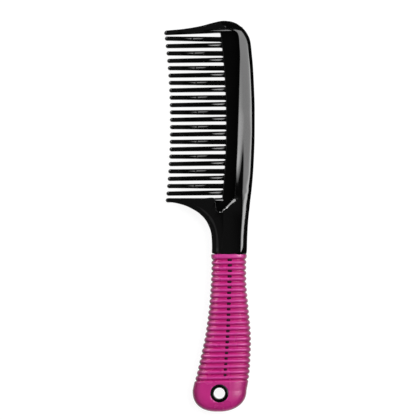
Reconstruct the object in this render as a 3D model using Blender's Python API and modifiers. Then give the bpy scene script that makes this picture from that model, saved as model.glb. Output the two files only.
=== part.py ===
# A detangling hair comb with a ribbed soft grip.
# It lies flat: X is across the comb, Y runs along it with the head at +Y, and Z is the thickness.
# The origin is the middle of the underside. Lengths are in millimetres until the end of each function,
# where MM turns them to metres.

import math

import bmesh
import bpy
from mathutils import Vector

MM = 0.001

# Overall
MIDPLANE_Z = 6.0        # height of the comb's middle plane above the table
GAP = 0.3               # clearance between two pieces that touch on the real comb

# Teeth: 22 free teeth between two guard arms
TOOTH_COUNT = 22
TOOTH_PITCH = 4.15
FIRST_TOOTH_Y = 100.0   # middle of the uppermost free tooth
TOOTH_LENGTH = 31.7     # from the tip to the end of the gap
TOOTH_OVERLAP = 1.6     # how far a tooth runs on into the web
TIP_ARC_RADIUS = 395.0  # tips and roots both follow an arc of this radius
ARC_MIDDLE_Y = 52.5
ARC_PEAK_TIP_X = -22.45  # tip of the tooth at the middle of the arc
TOOTH_LEAN = math.radians(0.9)      # alternate teeth turn slightly upwards at the root
TOOTH_HALF_WIDTH = 1.28
TIP_HALF_WIDTH = 1.15
TOOTH_HALF_DEPTH = 2.0
TIP_HALF_DEPTH = 1.3
TIP_ROUND = 1.3         # length of the rounded tip
TOOTH_SIDES = 10
TOOTH_SQUARENESS = 2.4
STEP_FROM_TIP = 15.4    # where the face that is set back at the root steps down
STEP_RUN_OUT = 5.8      # length of the hollow slope after that step
SET_BACK_HEIGHT = 0.5   # height of the set-back face above the middle plane
ROOT_CURVE = 7.2        # length over which the other face curves down to the web
UPPER_GUARD_Y = 103.3   # the guard arms end in roots like those of the teeth
LOWER_GUARD_Y = 9.1
UPPER_GUARD_LEAN = math.radians(1.6)

# Web between the teeth and the rail
WEB_HALF_THICKNESS = 1.5
WEB_WIDTH = 11.0
WEB_TOP_Y = 106.0
WEB_BOTTOM_Y = 9.9
WEB_FOOT_LEFT_X = -3.0  # under the lower guard arm the web is wider
WEB_FOOT_BOTTOM_Y = 2.0

# Frame: (outer edge x, y), (inner edge x, y), half thickness, fall towards the outer edge
FRAME = (
    ((-25.34, 103.9), (-25.34, 102.8), 0.9, 0.0),
    ((-24.7, 104.5), (-24.7, 102.2), 1.6, 0.0),
    ((-23.0, 104.7), (-23.0, 102.3), 1.9, 0.0),
    ((-14.5, 105.5), (-14.5, 102.7), 2.2, 0.0),
    ((-5.5, 106.9), (-5.5, 103.2), 2.8, 0.0),
    ((1.3, 108.6), (1.3, 103.9), 3.4, 0.0),
    ((7.2, 110.0), (7.0, 104.3), 4.2, 0.05),
    ((12.6, 109.5), (11.6, 104.4), 4.85, 0.15),
    ((17.6, 106.8), (14.8, 102.9), 5.3, 0.25),
    ((21.3, 102.4), (16.5, 99.4), 5.55, 0.3),
    ((23.1, 96.5), (17.1, 94.0), 5.65, 0.35),
    ((24.35, 82.1), (16.8, 81.3), 5.65, 0.35),
    ((25.1, 65.2), (16.1, 65.2), 5.65, 0.35),
    ((25.34, 53.9), (15.9, 53.9), 5.65, 0.35),
    ((24.9, 37.0), (15.4, 37.0), 5.65, 0.3),
    ((24.3, 25.8), (14.8, 25.8), 5.65, 0.25),
    ((23.5, 16.5), (14.4, 16.5), 5.65, 0.15),
    ((22.7, 8.9), (13.6, 9.0), 5.65, 0.05),
    ((21.9, 1.9), (8.5, 1.5), 5.65, 0.0),
    ((21.4, -4.6), (2.6, -4.0), 5.65, 0.0),
    ((21.0, -11.7), (1.5, -12.5), 5.65, 0.0),
    ((20.6, -20.8), (1.35, -20.8), 5.65, 0.0),
)

# Heel: lower guard arm and its sweep into the neck, as (lower edge), (upper edge), half thickness, fall
HEEL = (
    ((-24.5, 8.7), (-24.5, 9.8), 0.9, 0.0),
    ((-23.9, 8.1), (-23.9, 10.3), 1.6, 0.0),
    ((-22.2, 7.9), (-22.2, 10.35), 1.9, 0.0),
    ((-13.3, 5.85), (-13.3, 10.35), 2.6, 0.0),
    ((-8.6, 3.6), (-7.7, 10.2), 3.3, 0.0),
    ((-4.9, 0.8), (-2.8, 9.0), 4.0, 0.0),
    ((-2.0, -2.8), (1.5, 6.2), 4.8, 0.0),
    ((-0.3, -5.9), (6.5, 4.0), 5.3, 0.0),
    ((0.85, -9.3), (11.0, 5.7), 5.45, 0.0),
    ((1.35, -15.0), (15.2, 9.6), 5.5, 0.0),
)
OUTER_SQUARENESS = 2.6  # 2 is an ellipse, more is squarer
INNER_SQUARENESS = 4.0
BAND_SIDES = 18
SMOOTH_STEPS = 2        # sections laid between two given ones

# Grip outline: (y, left edge x, right edge x, half thickness) over the rib crowns and the end pad
GRIP = (
    (-21.1, 0.95, 20.7, 5.75),
    (-22.0, 0.85, 20.75, 5.85),
    (-26.3, 1.3, 20.3, 5.85),
    (-38.4, 0.8, 20.4, 5.9),
    (-50.8, -0.1, 21.5, 5.95),
    (-63.1, -1.6, 22.6, 6.0),
    (-75.5, -3.9, 22.8, 6.0),
    (-88.0, -6.7, 22.2, 6.0),
    (-93.6, -8.3, 21.4, 5.9),
    (-98.1, -9.3, 20.6, 5.7),
    (-101.0, -9.2, 19.8, 5.5),
    (-104.3, -8.1, 18.2, 5.0),
    (-107.1, -5.8, 15.5, 4.0),
    (-109.1, -2.0, 11.7, 2.6),
    (-110.0, 1.8, 8.1, 1.2),
)
GRIP_SQUARENESS = 3.2
GRIP_SIDES = 20
RIB_COUNT = 22
RIB_PITCH = 3.06
FIRST_GROOVE_Y = -24.85
GROOVE_DEPTH = 0.8      # on the faces
GROOVE_SIDE_DEPTH = 0.5  # at the edges
COLLAR_END_Y = -23.9
PAD_START_Y = -93.3

# Tang and keel inside the grip
TANG_START_Y = -17.0
TANG_INSET = 3.0        # from the grip's edge to the tang's edge
TANG_HALF_THICKNESS = 2.8
TANG_SIDES = 16
KEEL_LINE = ((-17.0, 11.2), (-31.0, 11.3), (-49.0, 10.75), (-61.0, 10.4), (-74.0, 9.65), (-90.8, 8.55))
KEEL_HALF_WIDTH_TOP = 1.25
KEEL_HALF_WIDTH_END = 0.85
KEEL_BELOW_CROWN = 0.9  # the keel's crest lies this far below the rib crowns, so it shows in the grooves
ANCHOR_YS = (-35.6, -57.0, -78.4)
ANCHOR_OFFSET_X = -5.0  # from the keel
PEG_RADIUS = 1.3

# Hanging hole and the ring that lines it
HOLE_X = 5.45
HOLE_Y = -99.5
HOLE_RADIUS = 3.15
RING_RADIUS = 5.1
RING_HALF_LENGTH = 5.75
RING_CHAMFER = 0.35
ROUND_STEPS = 32


def clear_scene():
    for old in list(bpy.data.objects):
        bpy.data.objects.remove(old, do_unlink=True)


def new_collection(name):
    collection = bpy.data.collections.new(name)
    bpy.context.scene.collection.children.link(collection)
    return collection


def plastic(name, colour, roughness):
    material = bpy.data.materials.new(name)
    material.use_nodes = True
    shader = material.node_tree.nodes["Principled BSDF"]
    shader.inputs["Base Color"].default_value = (*colour, 1.0)
    shader.inputs["Roughness"].default_value = roughness
    shader.inputs["Metallic"].default_value = 0.0
    return material


def mesh_object(name, mesh, collection, material=None):
    obj = bpy.data.objects.new(name, mesh)
    obj.location = (0.0, 0.0, MIDPLANE_Z * MM)
    collection.objects.link(obj)
    if material:
        mesh.materials.append(material)
    else:
        obj.hide_render = True
        obj.display_type = "WIRE"
    return obj


def loft(name, rings, collection, material=None):
    # Skins a row of closed rings with equal counts of points, and closes both ends with a flat face.
    bm = bmesh.new()
    rows = [[bm.verts.new(point * MM) for point in ring] for ring in rings]
    count = len(rows[0])
    for row, following in zip(rows, rows[1:]):
        for i in range(count):
            j = (i + 1) % count
            bm.faces.new((row[i], row[j], following[j], following[i]))
    bm.faces.new(rows[0])
    bm.faces.new(rows[-1])
    bmesh.ops.recalc_face_normals(bm, faces=bm.faces)
    bmesh.ops.triangulate(bm, faces=[face for face in bm.faces if len(face.verts) > 4])
    mesh = bpy.data.meshes.new(name)
    bm.to_mesh(mesh)
    bm.free()
    mesh.shade_smooth()
    mesh.set_sharp_from_angle(angle=math.radians(40.0))
    return mesh_object(name, mesh, collection, material)


def superellipse(count, squareness, inner_squareness=None):
    # Points of a superellipse that just fills a square of half width 1: (across, up)
    points = []
    for k in range(count):
        angle = 2.0 * math.pi * (k + 0.5) / count
        across, up = math.cos(angle), math.sin(angle)
        power = 2.0 / (inner_squareness if inner_squareness and across < 0.0 else squareness)
        points.append((math.copysign(abs(across) ** power, across), math.copysign(abs(up) ** power, up)))
    right = max(across for across, up in points)
    left = -min(across for across, up in points)
    top = max(up for across, up in points)
    return [(across / (right if across > 0.0 else left), up / top) for across, up in points]


def blend_between(before, start, end, after, t):
    # Catmull-Rom curve through start and end
    return 0.5 * (
        2.0 * start
        + (end - before) * t
        + (2.0 * before - 5.0 * start + 4.0 * end - after) * t * t
        + (3.0 * start - before - 3.0 * end + after) * t ** 3
    )


def smooth_rows(rows, steps):
    # Rows of equal length, with more rows laid on a smooth curve through them
    result = []
    last = len(rows) - 1
    for i in range(last):
        around = [rows[max(i - 1, 0)], rows[i], rows[i + 1], rows[min(i + 2, last)]]
        for step in range(steps):
            result.append([blend_between(*values, step / steps) for values in zip(*around)])
    result.append(list(rows[-1]))
    return result


def value_at(rows, y, column):
    # Reads a column of a table whose first column is y, falling, with straight lines between rows
    for row, following in zip(rows, rows[1:]):
        if y >= following[0]:
            t = (y - row[0]) / (following[0] - row[0])
            return row[column] + (following[column] - row[column]) * t
    return rows[-1][column]


GRIP_CURVE = smooth_rows(GRIP, 4)


def band(name, stations, collection, material=None):
    # A bar whose two edges follow the stations, with a crowned face that may fall towards its outer edge
    rows = [[*outer, *inner, height, fall] for outer, inner, height, fall in stations]
    rings = []
    for outer_x, outer_y, inner_x, inner_y, height, fall in smooth_rows(rows, SMOOTH_STEPS):
        middle = Vector(((outer_x + inner_x) / 2.0, (outer_y + inner_y) / 2.0, 0.0))
        half = Vector(((outer_x - inner_x) / 2.0, (outer_y - inner_y) / 2.0, 0.0))
        ring = []
        for across, up in superellipse(BAND_SIDES, OUTER_SQUARENESS, INNER_SQUARENESS):
            lowering = 1.0 - fall * (across + 1.0) / 2.0
            ring.append(middle + half * across + Vector((0.0, 0.0, up * height * lowering)))
        rings.append(ring)
    return loft(name, rings, collection, material)


def arc_shift(y):
    # How far the teeth's arc falls back at y from its peak at the middle
    return TIP_ARC_RADIUS - math.sqrt(TIP_ARC_RADIUS ** 2 - (y - ARC_MIDDLE_Y) ** 2)


def tooth_face_heights(along):
    # Heights of the level face and of the set-back face at a distance from the tip
    rise = min(along / 9.0, 1.0)
    height = TIP_HALF_DEPTH + (TOOTH_HALF_DEPTH - TIP_HALF_DEPTH) * math.sin(rise * math.pi / 2.0)
    level = height
    root_start = TOOTH_LENGTH - ROOT_CURVE
    if along > root_start:
        t = min((along - root_start) / ROOT_CURVE, 1.0)
        level = height - (height - 0.9 * WEB_HALF_THICKNESS) * t * t
    set_back = height
    if along > STEP_FROM_TIP:
        t = min((along - STEP_FROM_TIP) / STEP_RUN_OUT, 1.0)
        set_back = SET_BACK_HEIGHT + (height - SET_BACK_HEIGHT) * 0.75 * (1.0 - t) ** 2
    return level, set_back


def tooth(name, y, lean, set_back_in_front, collection):
    tip_x = ARC_PEAK_TIP_X - arc_shift(y)
    distances = (
        0.05, 0.45, 1.3, 5.0, 10.0, STEP_FROM_TIP, STEP_FROM_TIP + 0.4, STEP_FROM_TIP + 2.6,
        STEP_FROM_TIP + STEP_RUN_OUT, TOOTH_LENGTH - ROOT_CURVE, TOOTH_LENGTH - 3.6,
        TOOTH_LENGTH, TOOTH_LENGTH + TOOTH_OVERLAP,
    )
    rings = []
    for along in distances:
        level, set_back = tooth_face_heights(along)
        front, back = (set_back, -level) if set_back_in_front else (level, -set_back)
        widen = min(along / 10.0, 1.0)
        half_width = TIP_HALF_WIDTH + (TOOTH_HALF_WIDTH - TIP_HALF_WIDTH) * widen
        rounding = math.sqrt(1.0 - (1.0 - min(along / TIP_ROUND, 1.0)) ** 2)
        middle_y = y + math.sin(lean) * (along - TOOTH_LENGTH * 0.15)
        ring = []
        for across, up in superellipse(TOOTH_SIDES, TOOTH_SQUARENESS):
            height = (front + back) / 2.0 + up * (front - back) / 2.0 * rounding
            ring.append(Vector((tip_x + along, middle_y + across * half_width * rounding, height)))
        rings.append(ring)
    return loft(name, rings, collection)


def teeth(collection):
    # The faces that are set back at the root alternate between front and back, which makes two rows of roots
    for index in range(TOOTH_COUNT):
        set_back_in_front = index % 2 == 0
        lean = 0.0 if set_back_in_front else TOOTH_LEAN
        if index == 0:
            lean = -TOOTH_LEAN
        tooth(f"tooth_{index + 1:02d}", FIRST_TOOTH_Y - index * TOOTH_PITCH, lean, set_back_in_front, collection)
    tooth("upper_guard_root", UPPER_GUARD_Y, UPPER_GUARD_LEAN, False, collection)
    tooth("lower_guard_root", LOWER_GUARD_Y, 0.0, False, collection)


def plate_ring(y, left, right):
    # One section of the web, with a rounded left edge
    thick = WEB_HALF_THICKNESS
    return [
        Vector((left + 0.5, y, thick)), Vector((left, y, thick / 2.0)),
        Vector((left, y, -thick / 2.0)), Vector((left + 0.5, y, -thick)),
        Vector((right, y, -thick)), Vector((right, y, thick)),
    ]


def web(collection):
    # The thin plate between the teeth's roots and the rail, whose left edge follows the teeth's arc
    rings = []
    steps = 12
    for step in range(steps + 1):
        y = WEB_TOP_Y + (WEB_BOTTOM_Y - WEB_TOP_Y) * step / steps
        left = ARC_PEAK_TIP_X + TOOTH_LENGTH - arc_shift(y)
        rings.append(plate_ring(y, left, left + WEB_WIDTH))
    right = rings[-1][-1].x
    rings.append(plate_ring(WEB_BOTTOM_Y - 0.01, WEB_FOOT_LEFT_X, right))
    rings.append(plate_ring(WEB_FOOT_BOTTOM_Y, WEB_FOOT_LEFT_X, right))
    return loft("web", rings, collection)


def grip_ring(y, left, right, half_thickness, sides):
    middle = (left + right) / 2.0
    half = (right - left) / 2.0
    return [
        Vector((middle + across * half, y, up * half_thickness))
        for across, up in superellipse(sides, GRIP_SQUARENESS)
    ]


def tang(name, clearance, collection):
    # The flat core of the grip, or with a clearance the space that the sleeve leaves for it
    start = TANG_START_Y if clearance == 0.0 else FRAME[-1][0][1] + 1.0
    inset = TANG_INSET - clearance
    rings = [grip_ring(start, GRIP[0][1] + inset, GRIP[0][2] - inset, TANG_HALF_THICKNESS + clearance, TANG_SIDES)]
    for y, left, right, half_thickness in GRIP[2:-3]:
        rings.append(grip_ring(y, left + inset, right - inset, TANG_HALF_THICKNESS + clearance, TANG_SIDES))
    end_y = GRIP[-1][0] + TANG_INSET - clearance
    rings.append(grip_ring(end_y, GRIP[-3][1] + 4.6, GRIP[-3][2] - 4.6, TANG_HALF_THICKNESS + clearance, TANG_SIDES))
    return loft(name, rings, collection)


def keel(name, clearance, collection):
    # The ridge on both faces of the tang, which just reaches the floors of the grooves
    rings = []
    first_y = KEEL_LINE[0][0]
    last_y = KEEL_LINE[-1][0]
    for y, x in KEEL_LINE:
        along = (y - first_y) / (last_y - first_y)
        half = KEEL_HALF_WIDTH_TOP + (KEEL_HALF_WIDTH_END - KEEL_HALF_WIDTH_TOP) * along + clearance
        crest = value_at(GRIP_CURVE, y, 3) - KEEL_BELOW_CROWN + clearance
        end_y = y - clearance if y == last_y else y
        rings.append([
            Vector((x + half, end_y, crest)),
            Vector((x - half, end_y, crest)),
            Vector((x - half, end_y, -crest)),
            Vector((x + half, end_y, -crest)),
        ])
    return loft(name, rings, collection)


def sleeve_stations():
    # y and groove depth, from 0 at a crown to 1 in a groove, along the whole sleeve
    stations = [(GRIP[0][0], 0.3), (GRIP[1][0], 0.0), (COLLAR_END_Y + 0.5, 0.1), (COLLAR_END_Y, 0.4)]
    for k in range(RIB_COUNT + 1):
        groove_y = FIRST_GROOVE_Y - k * RIB_PITCH
        stations.append((groove_y + 0.4, 1.0))
        stations.append((groove_y - 0.4, 1.0))
        if k < RIB_COUNT:
            stations.append((groove_y - 0.35 * RIB_PITCH, 0.0))
            stations.append((groove_y - 0.65 * RIB_PITCH, 0.0))
    stations.append((PAD_START_Y, 0.0))
    stations += [(row[0], 0.0) for row in GRIP if row[0] < PAD_START_Y - 0.2]
    return stations


def grip_sleeve(collection, material):
    rings = []
    for y, groove in sleeve_stations():
        left = value_at(GRIP_CURVE, y, 1) + groove * GROOVE_SIDE_DEPTH
        right = value_at(GRIP_CURVE, y, 2) - groove * GROOVE_SIDE_DEPTH
        half_thickness = value_at(GRIP_CURVE, y, 3) - groove * GROOVE_DEPTH
        rings.append(grip_ring(y, left, right, half_thickness, GRIP_SIDES))
    return loft("grip_sleeve", rings, collection, material)


def round_bar(name, x, y, radius, half_length, collection, steps=ROUND_STEPS):
    bm = bmesh.new()
    bmesh.ops.create_cone(bm, cap_ends=True, segments=steps, radius1=radius * MM, radius2=radius * MM,
                          depth=2.0 * half_length * MM)
    bmesh.ops.translate(bm, verts=bm.verts, vec=(x * MM, y * MM, 0.0))
    mesh = bpy.data.meshes.new(name)
    bm.to_mesh(mesh)
    bm.free()
    return mesh_object(name, mesh, collection)


def hang_eyelet(collection, material):
    # A turned ring: the profile starts at the top of its outer side and runs down
    top = RING_HALF_LENGTH
    profile = (
        (RING_RADIUS - RING_CHAMFER, top), (RING_RADIUS, top - RING_CHAMFER),
        (RING_RADIUS, -top + RING_CHAMFER), (RING_RADIUS - RING_CHAMFER, -top),
        (HOLE_RADIUS + RING_CHAMFER, -top), (HOLE_RADIUS, -top + RING_CHAMFER),
        (HOLE_RADIUS, top - RING_CHAMFER), (HOLE_RADIUS + RING_CHAMFER, top),
    )
    mesh = bpy.data.meshes.new("hang_eyelet")
    points = [Vector((x, 0.0, z)) * MM for x, z in profile]
    edges = [(i, (i + 1) % len(points)) for i in range(len(points))]
    mesh.from_pydata(points, edges, [])
    ring = mesh_object("hang_eyelet", mesh, collection, material)
    ring.location = (HOLE_X * MM, HOLE_Y * MM, MIDPLANE_Z * MM)
    screw = ring.modifiers.new("turn", "SCREW")
    screw.steps = ROUND_STEPS
    screw.render_steps = ROUND_STEPS
    screw.use_merge_vertices = True
    screw.merge_threshold = 0.00001
    return ring


def combine(obj, operation, collection):
    cut = obj.modifiers.new(operation.lower(), "BOOLEAN")
    cut.operation = operation
    cut.solver = "EXACT"
    cut.operand_type = "COLLECTION"
    cut.collection = collection


def main():
    clear_scene()
    comb = new_collection("comb")
    body_parts = new_collection("body_parts")
    body_cuts = new_collection("body_cuts")
    sleeve_cuts = new_collection("sleeve_cuts")
    sleeve_pegs = new_collection("sleeve_pegs")
    black = plastic("black_plastic", (0.006, 0.006, 0.007), 0.15)
    magenta = plastic("magenta_rubber", (0.45, 0.015, 0.16), 0.4)

    body = band("comb_body", FRAME, comb, black)
    band("heel", HEEL, body_parts)
    web(body_parts)
    teeth(body_parts)
    tang("tang", 0.0, body_parts)
    keel("keel", 0.0, body_parts)
    combine(body, "UNION", body_parts)

    sleeve = grip_sleeve(comb, magenta)
    tang("tang_space", GAP, sleeve_cuts)
    keel("keel_space", GAP, sleeve_cuts)
    round_bar("ring_hole_in_sleeve", HOLE_X, HOLE_Y, RING_RADIUS + GAP, 12.0, sleeve_cuts)
    combine(sleeve, "DIFFERENCE", sleeve_cuts)

    round_bar("ring_hole_in_tang", HOLE_X, HOLE_Y, RING_RADIUS + GAP, 12.0, body_cuts)
    for number, y in enumerate(ANCHOR_YS, start=1):
        x = value_at(KEEL_LINE, y, 1) + ANCHOR_OFFSET_X
        round_bar(f"anchor_hole_{number}", x, y, PEG_RADIUS + GAP, 4.0, body_cuts, 12)
        round_bar(f"anchor_peg_{number}", x, y, PEG_RADIUS, 4.2, sleeve_pegs, 12)
    combine(body, "DIFFERENCE", body_cuts)
    combine(sleeve, "UNION", sleeve_pegs)

    hang_eyelet(comb, black)


main()
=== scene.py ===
import math

import bmesh
import bpy
from mathutils import Matrix, Vector


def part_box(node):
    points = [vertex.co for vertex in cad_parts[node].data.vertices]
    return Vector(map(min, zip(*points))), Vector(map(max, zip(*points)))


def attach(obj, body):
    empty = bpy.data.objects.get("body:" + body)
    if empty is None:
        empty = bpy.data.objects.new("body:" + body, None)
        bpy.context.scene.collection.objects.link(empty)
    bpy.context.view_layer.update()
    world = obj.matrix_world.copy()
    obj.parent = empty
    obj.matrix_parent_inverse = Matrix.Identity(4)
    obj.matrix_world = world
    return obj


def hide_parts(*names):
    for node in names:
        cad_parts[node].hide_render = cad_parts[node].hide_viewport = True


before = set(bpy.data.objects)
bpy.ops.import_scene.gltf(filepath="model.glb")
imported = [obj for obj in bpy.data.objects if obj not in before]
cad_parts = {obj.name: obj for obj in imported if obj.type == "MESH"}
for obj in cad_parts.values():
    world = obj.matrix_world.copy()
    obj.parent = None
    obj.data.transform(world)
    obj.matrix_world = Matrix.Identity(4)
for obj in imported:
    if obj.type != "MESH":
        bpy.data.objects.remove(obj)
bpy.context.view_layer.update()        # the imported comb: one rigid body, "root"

# Looks of a detangling comb with a ribbed soft grip, lying flat on a pale sweep.
# Outlines are in millimetres in the comb's own frame; mm turns them to metres.
# Heights are counted from the comb's middle plane, which the eyelet's box gives.

mm = 0.001
ringLow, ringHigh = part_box("hang_eyelet")
midZ = (ringLow.z + ringHigh.z) / 2
holeX = (ringLow.x + ringHigh.x) / 2 / mm
holeY = (ringLow.y + ringHigh.y) / 2 / mm
ringRadius = (ringHigh.x - ringLow.x) / 2 / mm
ringHalfLength = (ringHigh.z - ringLow.z) / 2 / mm
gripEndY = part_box("grip_sleeve")[0].y / mm


# Small helpers shared by all the pieces

def hexColour(code):
    # sRGB hex to the linear RGBA that Blender's sockets take
    channels = [int(code[i:i + 2], 16) / 255 for i in (1, 3, 5)]
    linear = [c / 12.92 if c <= 0.04045 else ((c + 0.055) / 1.055) ** 2.4 for c in channels]
    return (*linear, 1.0)


def addNode(tree, kind, settings=None, links=None):
    node = tree.nodes.new(kind)
    for key, value in (settings or {}).items():
        setattr(node, key, value)
    for key, source in (links or {}).items():
        if isinstance(source, bpy.types.NodeSocket):
            tree.links.new(source, node.inputs[key])
        else:
            node.inputs[key].default_value = source
    return node


def place(x, y, z):
    return Vector((x * mm, y * mm, z * mm + midZ))


def newObject(name, mesh, material=None):
    obj = bpy.data.objects.new(name, mesh)
    bpy.context.scene.collection.objects.link(obj)
    if material and not mesh.materials:
        mesh.materials.append(material)
    return obj


def loft(name, rings, closed=False, material=None):
    # rings of equal counts, skinned; open rows get a flat cap at each end
    bm = bmesh.new()
    rows = [[bm.verts.new(place(*point)) for point in ring] for ring in rings]
    count = len(rows[0])
    pairs = list(zip(rows, rows[1:] + rows[:1])) if closed else list(zip(rows, rows[1:]))
    for row, following in pairs:
        for i in range(count):
            j = (i + 1) % count
            bm.faces.new((row[i], row[j], following[j], following[i]))
    if not closed:
        bm.faces.new(rows[0])
        bm.faces.new(rows[-1])
    bmesh.ops.recalc_face_normals(bm, faces=bm.faces)
    mesh = bpy.data.meshes.new(name)
    bm.to_mesh(mesh)
    bm.free()
    mesh.shade_smooth()
    return newObject(name, mesh, material)


def bake(obj, name, material=None):
    # swaps an object with live modifiers for a plain mesh object
    graph = bpy.context.evaluated_depsgraph_get()
    mesh = bpy.data.meshes.new_from_object(
        obj.evaluated_get(graph), preserve_all_data_layers=True, depsgraph=graph)
    bpy.data.objects.remove(obj, do_unlink=True)
    mesh.name = name
    if material:
        mesh.materials.clear()
        mesh.materials.append(material)
    return newObject(name, mesh)


def joinAll(objects, name):
    bm = bmesh.new()
    for obj in objects:
        bm.from_mesh(obj.data)
        bpy.data.objects.remove(obj, do_unlink=True)
    mesh = bpy.data.meshes.new(name)
    bm.to_mesh(mesh)
    bm.free()
    return newObject(name, mesh)


def clamp(value, most=1):
    return min(max(value, 0), most)


def superellipse(count, power):
    # unit outline as (across, up)
    points = []
    for k in range(count):
        angle = 2 * math.pi * (k + 0.5) / count
        c, s = math.cos(angle), math.sin(angle)
        exponent = 2 / power
        points.append((math.copysign(abs(c) ** exponent, c), math.copysign(abs(s) ** exponent, s)))
    return points


def smoothRows(rows, steps):
    # Catmull-Rom through rows of numbers
    result = []
    last = len(rows) - 1
    for i in range(last):
        a, b, c, d = rows[max(i - 1, 0)], rows[i], rows[i + 1], rows[min(i + 2, last)]
        for step in range(steps):
            t = step / steps
            result.append([
                0.5 * (2 * q + (r - p) * t + (2 * p - 5 * q + 4 * r - s) * t ** 2
                       + (3 * q - p - 3 * r + s) * t ** 3)
                for p, q, r, s in zip(a, b, c, d)])
    result.append(list(rows[-1]))
    return result


def valueAt(rows, y, column):
    # rows fall in y; straight between neighbours
    for row, following in zip(rows, rows[1:]):
        if y >= following[0]:
            t = (y - row[0]) / (following[0] - row[0])
            return row[column] + (following[column] - row[column]) * t
    return rows[-1][column]


def smoothStep(t):
    t = clamp(t)
    return t * t * (3 - 2 * t)


def bezier(points, count):
    (x0, y0), (x1, y1), (x2, y2), (x3, y3) = points
    return [(x0 * (1 - t) ** 3 + 3 * x1 * t * (1 - t) ** 2 + 3 * x2 * t * t * (1 - t) + x3 * t ** 3,
             y0 * (1 - t) ** 3 + 3 * y1 * t * (1 - t) ** 2 + 3 * y2 * t * t * (1 - t) + y3 * t ** 3)
            for t in [k / count for k in range(count + 1)]]


def newTree(name, inputs):
    # gives the tree and its inputs by name; inputs are named by kind
    tree = bpy.data.node_groups.new(name, "GeometryNodeTree")
    sockets = [("INPUT", kind, label) for kind, labels in inputs.items() for label in labels]
    for way, kind, label in sockets + [("OUTPUT", "Geometry", "Geometry")]:
        tree.interface.new_socket(name=label, in_out=way, socket_type="NodeSocket" + kind)
    return tree, {socket.name: socket for socket in addNode(tree, "NodeGroupInput").outputs}


def endTree(tree, geometry, finish):
    real = addNode(tree, "GeometryNodeRealizeInstances", links={"Geometry": geometry})
    dressed = addNode(tree, "GeometryNodeSetMaterial", links={
        "Geometry": real.outputs[0], "Material": finish})
    addNode(tree, "NodeGroupOutput", links={"Geometry": dressed.outputs[0]})


def setInputs(modifier, values):
    sockets = {item.name: item.identifier for item in modifier.node_group.interface.items_tree
               if item.in_out == "INPUT"}
    for name, value in values.items():
        modifier[sockets[name]] = value


# Materials

# "cloud" is a broad noise that the gloss follows, "relief" a finer one in the surface, each
# by its size and detail
polished = {"colour": "#040404", "roughness": (0.07, 0.11), "ior": 1.5, "specular": 0.5,
            "cloud": (14.0, 5.0), "cloudRange": (0.35, 0.7),
            "relief": (9.0, 1.0), "reliefHeight": 0.003}
# the core's ridge, where the soft grip was moulded over it
sealed = {"colour": "#2A0418", "roughness": (0.5, 0.6), "ior": 1.5, "specular": 0.12,
          "cloud": (5.0, 5.0), "cloudRange": (0.35, 0.7),
          "relief": (1.5, 1.0), "reliefHeight": 0.01}
# painted shade: the groove colour comes in as a groove deepens from "shadeFrom" to "shadeTo", and
# the rim colour, painted shade on the side walls, from "rimFrom" of the way to the side, up to
# "rimMost" of it
elastomer = {"crown": "#CA3E90", "tint": "#B63284", "groove": "#A60C62", "rim": "#700440",
             "roughness": (0.23, 0.3), "ior": 1.5, "specular": 0.5,
             "cloud": (18.0, 3.0), "cloudRange": (0.3, 0.7),
             "relief": (0.35, 2.0), "reliefHeight": 0.006,
             "shadeFrom": 0.2, "shadeTo": 0.62, "rimFrom": 0.7, "rimMost": 0.88}


def newMaterial(name):
    material = bpy.data.materials.new(name)
    material.use_nodes = True
    return material, material.node_tree, material.node_tree.nodes["Principled BSDF"]


def mouldedPlastic(name, plastic):
    # gloss that drifts over the piece and relief from the mould; gives the cloud back too
    material, tree, shader = newMaterial(name)
    shader.inputs["IOR"].default_value = plastic["ior"]
    shader.inputs["Specular IOR Level"].default_value = plastic["specular"]
    coords = addNode(tree, "ShaderNodeTexCoord")
    cloud, relief = [addNode(tree, "ShaderNodeTexNoise", links={
        "Vector": coords.outputs["Object"], "Scale": 1 / (size * mm), "Detail": detail})
        for size, detail in (plastic["cloud"], plastic["relief"])]
    least, most = plastic["cloudRange"]
    low, high = plastic["roughness"]
    rough = addNode(tree, "ShaderNodeMapRange", links={
        "Value": cloud.outputs["Fac"], "From Min": least, "From Max": most,
        "To Min": low, "To Max": high})
    tree.links.new(rough.outputs["Result"], shader.inputs["Roughness"])
    bump = addNode(tree, "ShaderNodeBump", links={
        "Height": relief.outputs["Fac"], "Distance": plastic["reliefHeight"] * mm,
        "Strength": 1.0})
    tree.links.new(bump.outputs["Normal"], shader.inputs["Normal"])
    return material, tree, shader, cloud


def blackPlastic(name, plastic):
    # Polystyrene: deep black, with a trace of handling haze and the mould's long ripple
    material, _, shader, _ = mouldedPlastic(name, plastic)
    shader.inputs["Base Color"].default_value = hexColour(plastic["colour"])
    return material


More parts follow.
